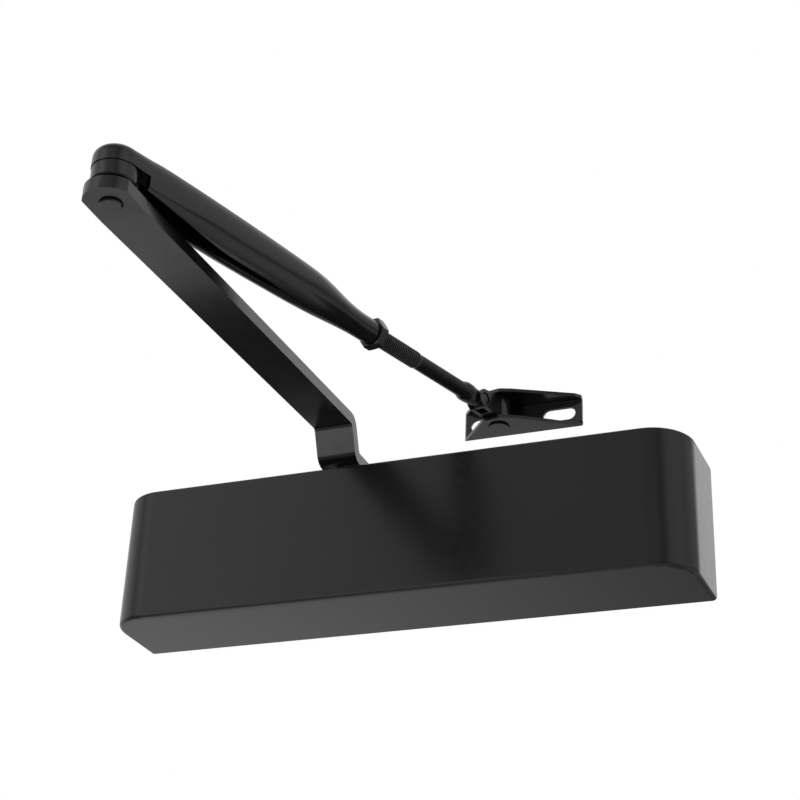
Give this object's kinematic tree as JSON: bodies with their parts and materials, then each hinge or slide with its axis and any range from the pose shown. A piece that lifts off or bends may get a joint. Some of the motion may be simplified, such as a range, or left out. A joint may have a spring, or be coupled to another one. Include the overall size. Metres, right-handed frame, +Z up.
{
  "type": "door closer",
  "caption": "Surface-mounted door closer: black box-shaped cover over a rack-and-pinion body, with a cranked main arm, an adjustable folding forearm and a slotted frame bracket.",
  "frame": {"origin": "centre of the face of the closer's body that lies on the door", "axes": "+X along the body to its right, seen from the room; +Y into the door; +Z up, the side that the spindle and arms are on"},
  "size_m": [0.288, 0.2724, 0.1131],
  "materials": {
    "cover_black": "satin black, fine even texture",
    "arm_black": "semi-gloss black paint on steel",
    "rod_black": "blackened steel, slightly bright on the thread",
    "cast_aluminium": "die-cast, fine grain",
    "steel": "turned and zinc plated",
    "spring_steel": "oil-blackened spring steel",
    "brass": "turned",
    "rubber": "smooth nitrile"
  },
  "bodies": {
    "closer_body": {"cover": "cover_black", "housing": "cast_aluminium", "clip_left": "spring_steel", "clip_right": "spring_steel", "clip_screw_left_top": "steel", "clip_screw_left_bottom": "steel", "clip_screw_right_top": "steel", "clip_screw_right_bottom": "steel", "end_cap_left": "steel", "end_cap_right": "steel", "o_ring_left": "rubber", "o_ring_right": "rubber", "bearing_bottom": "steel", "bearing_top": "steel", "gland_cap_bottom": "steel", "gland_cap_top": "steel", "shaft_seal": "rubber", "main_spring": "spring_steel"},
    "piston": {"piston": "steel", "ball_retainer": "steel"},
    "check_ball": {"check_ball": "steel"},
    "power_screw": {"power_screw": "steel"},
    "spring_plate": {"spring_plate": "steel"},
    "closing_valve": {"closing_valve": "brass"},
    "latching_valve": {"latching_valve": "brass"},
    "backcheck_valve": {"backcheck_valve": "brass"},
    "spindle": {"pinion_shaft": "steel", "main_arm": "arm_black", "arm_washer": "steel", "elbow_pin": "arm_black", "elbow_bush": "arm_black"},
    "arm_screw": {"arm_screw": "arm_black"},
    "forearm": {"forearm": "arm_black"},
    "lock_nut": {"lock_nut": "arm_black"},
    "rod": {"adjusting_rod": "rod_black", "cross_pin": "arm_black"},
    "swivel_block": {"swivel_block": "arm_black"},
    "bracket": {"bracket": "arm_black"}
  },
  "joints": [
    {"name": "spindle_turn", "type": "hinge", "parent": "closer_body", "child": "spindle", "pos_m": [-0.0285, -0.025, 0.0422], "axis": [0, 0, 1], "range_deg": [0, 168], "stiffness_Nm_per_rad": 8, "springref_deg": -143.24},
    {"name": "piston_slide", "type": "slide", "parent": "closer_body", "child": "piston", "axis": [1, 0, 0], "range_m": [0, 0.0294], "deforming": ["main_spring"]},
    {"name": "check_ball_lift", "type": "slide", "parent": "piston", "child": "check_ball", "axis": [1, 0, 0], "range_m": [-0.0008, 0]},
    {"name": "power_screw_turn", "type": "hinge", "parent": "closer_body", "child": "power_screw", "pos_m": [0.129, -0.025, 0], "axis": [1, 0, 0], "range_deg": [0, 2160]},
    {"name": "spring_plate_slide", "type": "slide", "parent": "closer_body", "child": "spring_plate", "axis": [1, 0, 0], "range_m": [-0.012, 0]},
    {"name": "closing_valve_turn", "type": "hinge", "parent": "closer_body", "child": "closing_valve", "pos_m": [-0.129, -0.009, 0.0215], "axis": [1, 0, 0], "range_deg": [-180, 540]},
    {"name": "latching_valve_turn", "type": "hinge", "parent": "closer_body", "child": "latching_valve", "pos_m": [-0.129, -0.009, -0.0215], "axis": [1, 0, 0], "range_deg": [-180, 540]},
    {"name": "backcheck_valve_turn", "type": "hinge", "parent": "closer_body", "child": "backcheck_valve", "pos_m": [0.129, -0.009, 0.0215], "axis": [1, 0, 0], "range_deg": [-180, 540]},
    {"name": "arm_screw_turn", "type": "hinge", "parent": "spindle", "child": "arm_screw", "pos_m": [-0.0285, -0.025, 0.048], "axis": [0, 0, 1], "range_deg": [0, 720]},
    {"name": "elbow", "type": "hinge", "parent": "spindle", "child": "forearm", "pos_m": [-0.0285, -0.2613, 0.055], "axis": [0, 0, 1], "range_deg": [-150, 30]},
    {"name": "lock_nut_turn", "type": "hinge", "parent": "forearm", "child": "lock_nut", "pos_m": [0.01588, -0.1084, 0.06689], "axis": [0.2786, 0.9598, 0.0339], "range_deg": [0, 360]},
    {"name": "rod_length", "type": "slide", "parent": "forearm", "child": "rod", "axis": [0.2786, 0.9598, 0.0339], "range_m": [-0.022, 0.02]},
    {"name": "rod_tilt", "type": "hinge", "parent": "rod", "child": "swivel_block", "pos_m": [0.03896, -0.02889, 0.0697], "axis": [0.9604, -0.2788, 0], "range_deg": [-12, 12]},
    {"name": "bracket_swivel", "type": "hinge", "parent": "swivel_block", "child": "bracket", "pos_m": [0.0438, -0.0122, 0.071], "axis": [0, 0, 1], "range_deg": [-60, 80]}
  ],
  "couplings": [
    {"joint": "piston_slide", "follows": "spindle_turn", "m_per_rad": 0.01},
    {"joint": "spring_plate_slide", "follows": "power_screw_turn", "m_per_rad": -0.00031831}
  ]
}
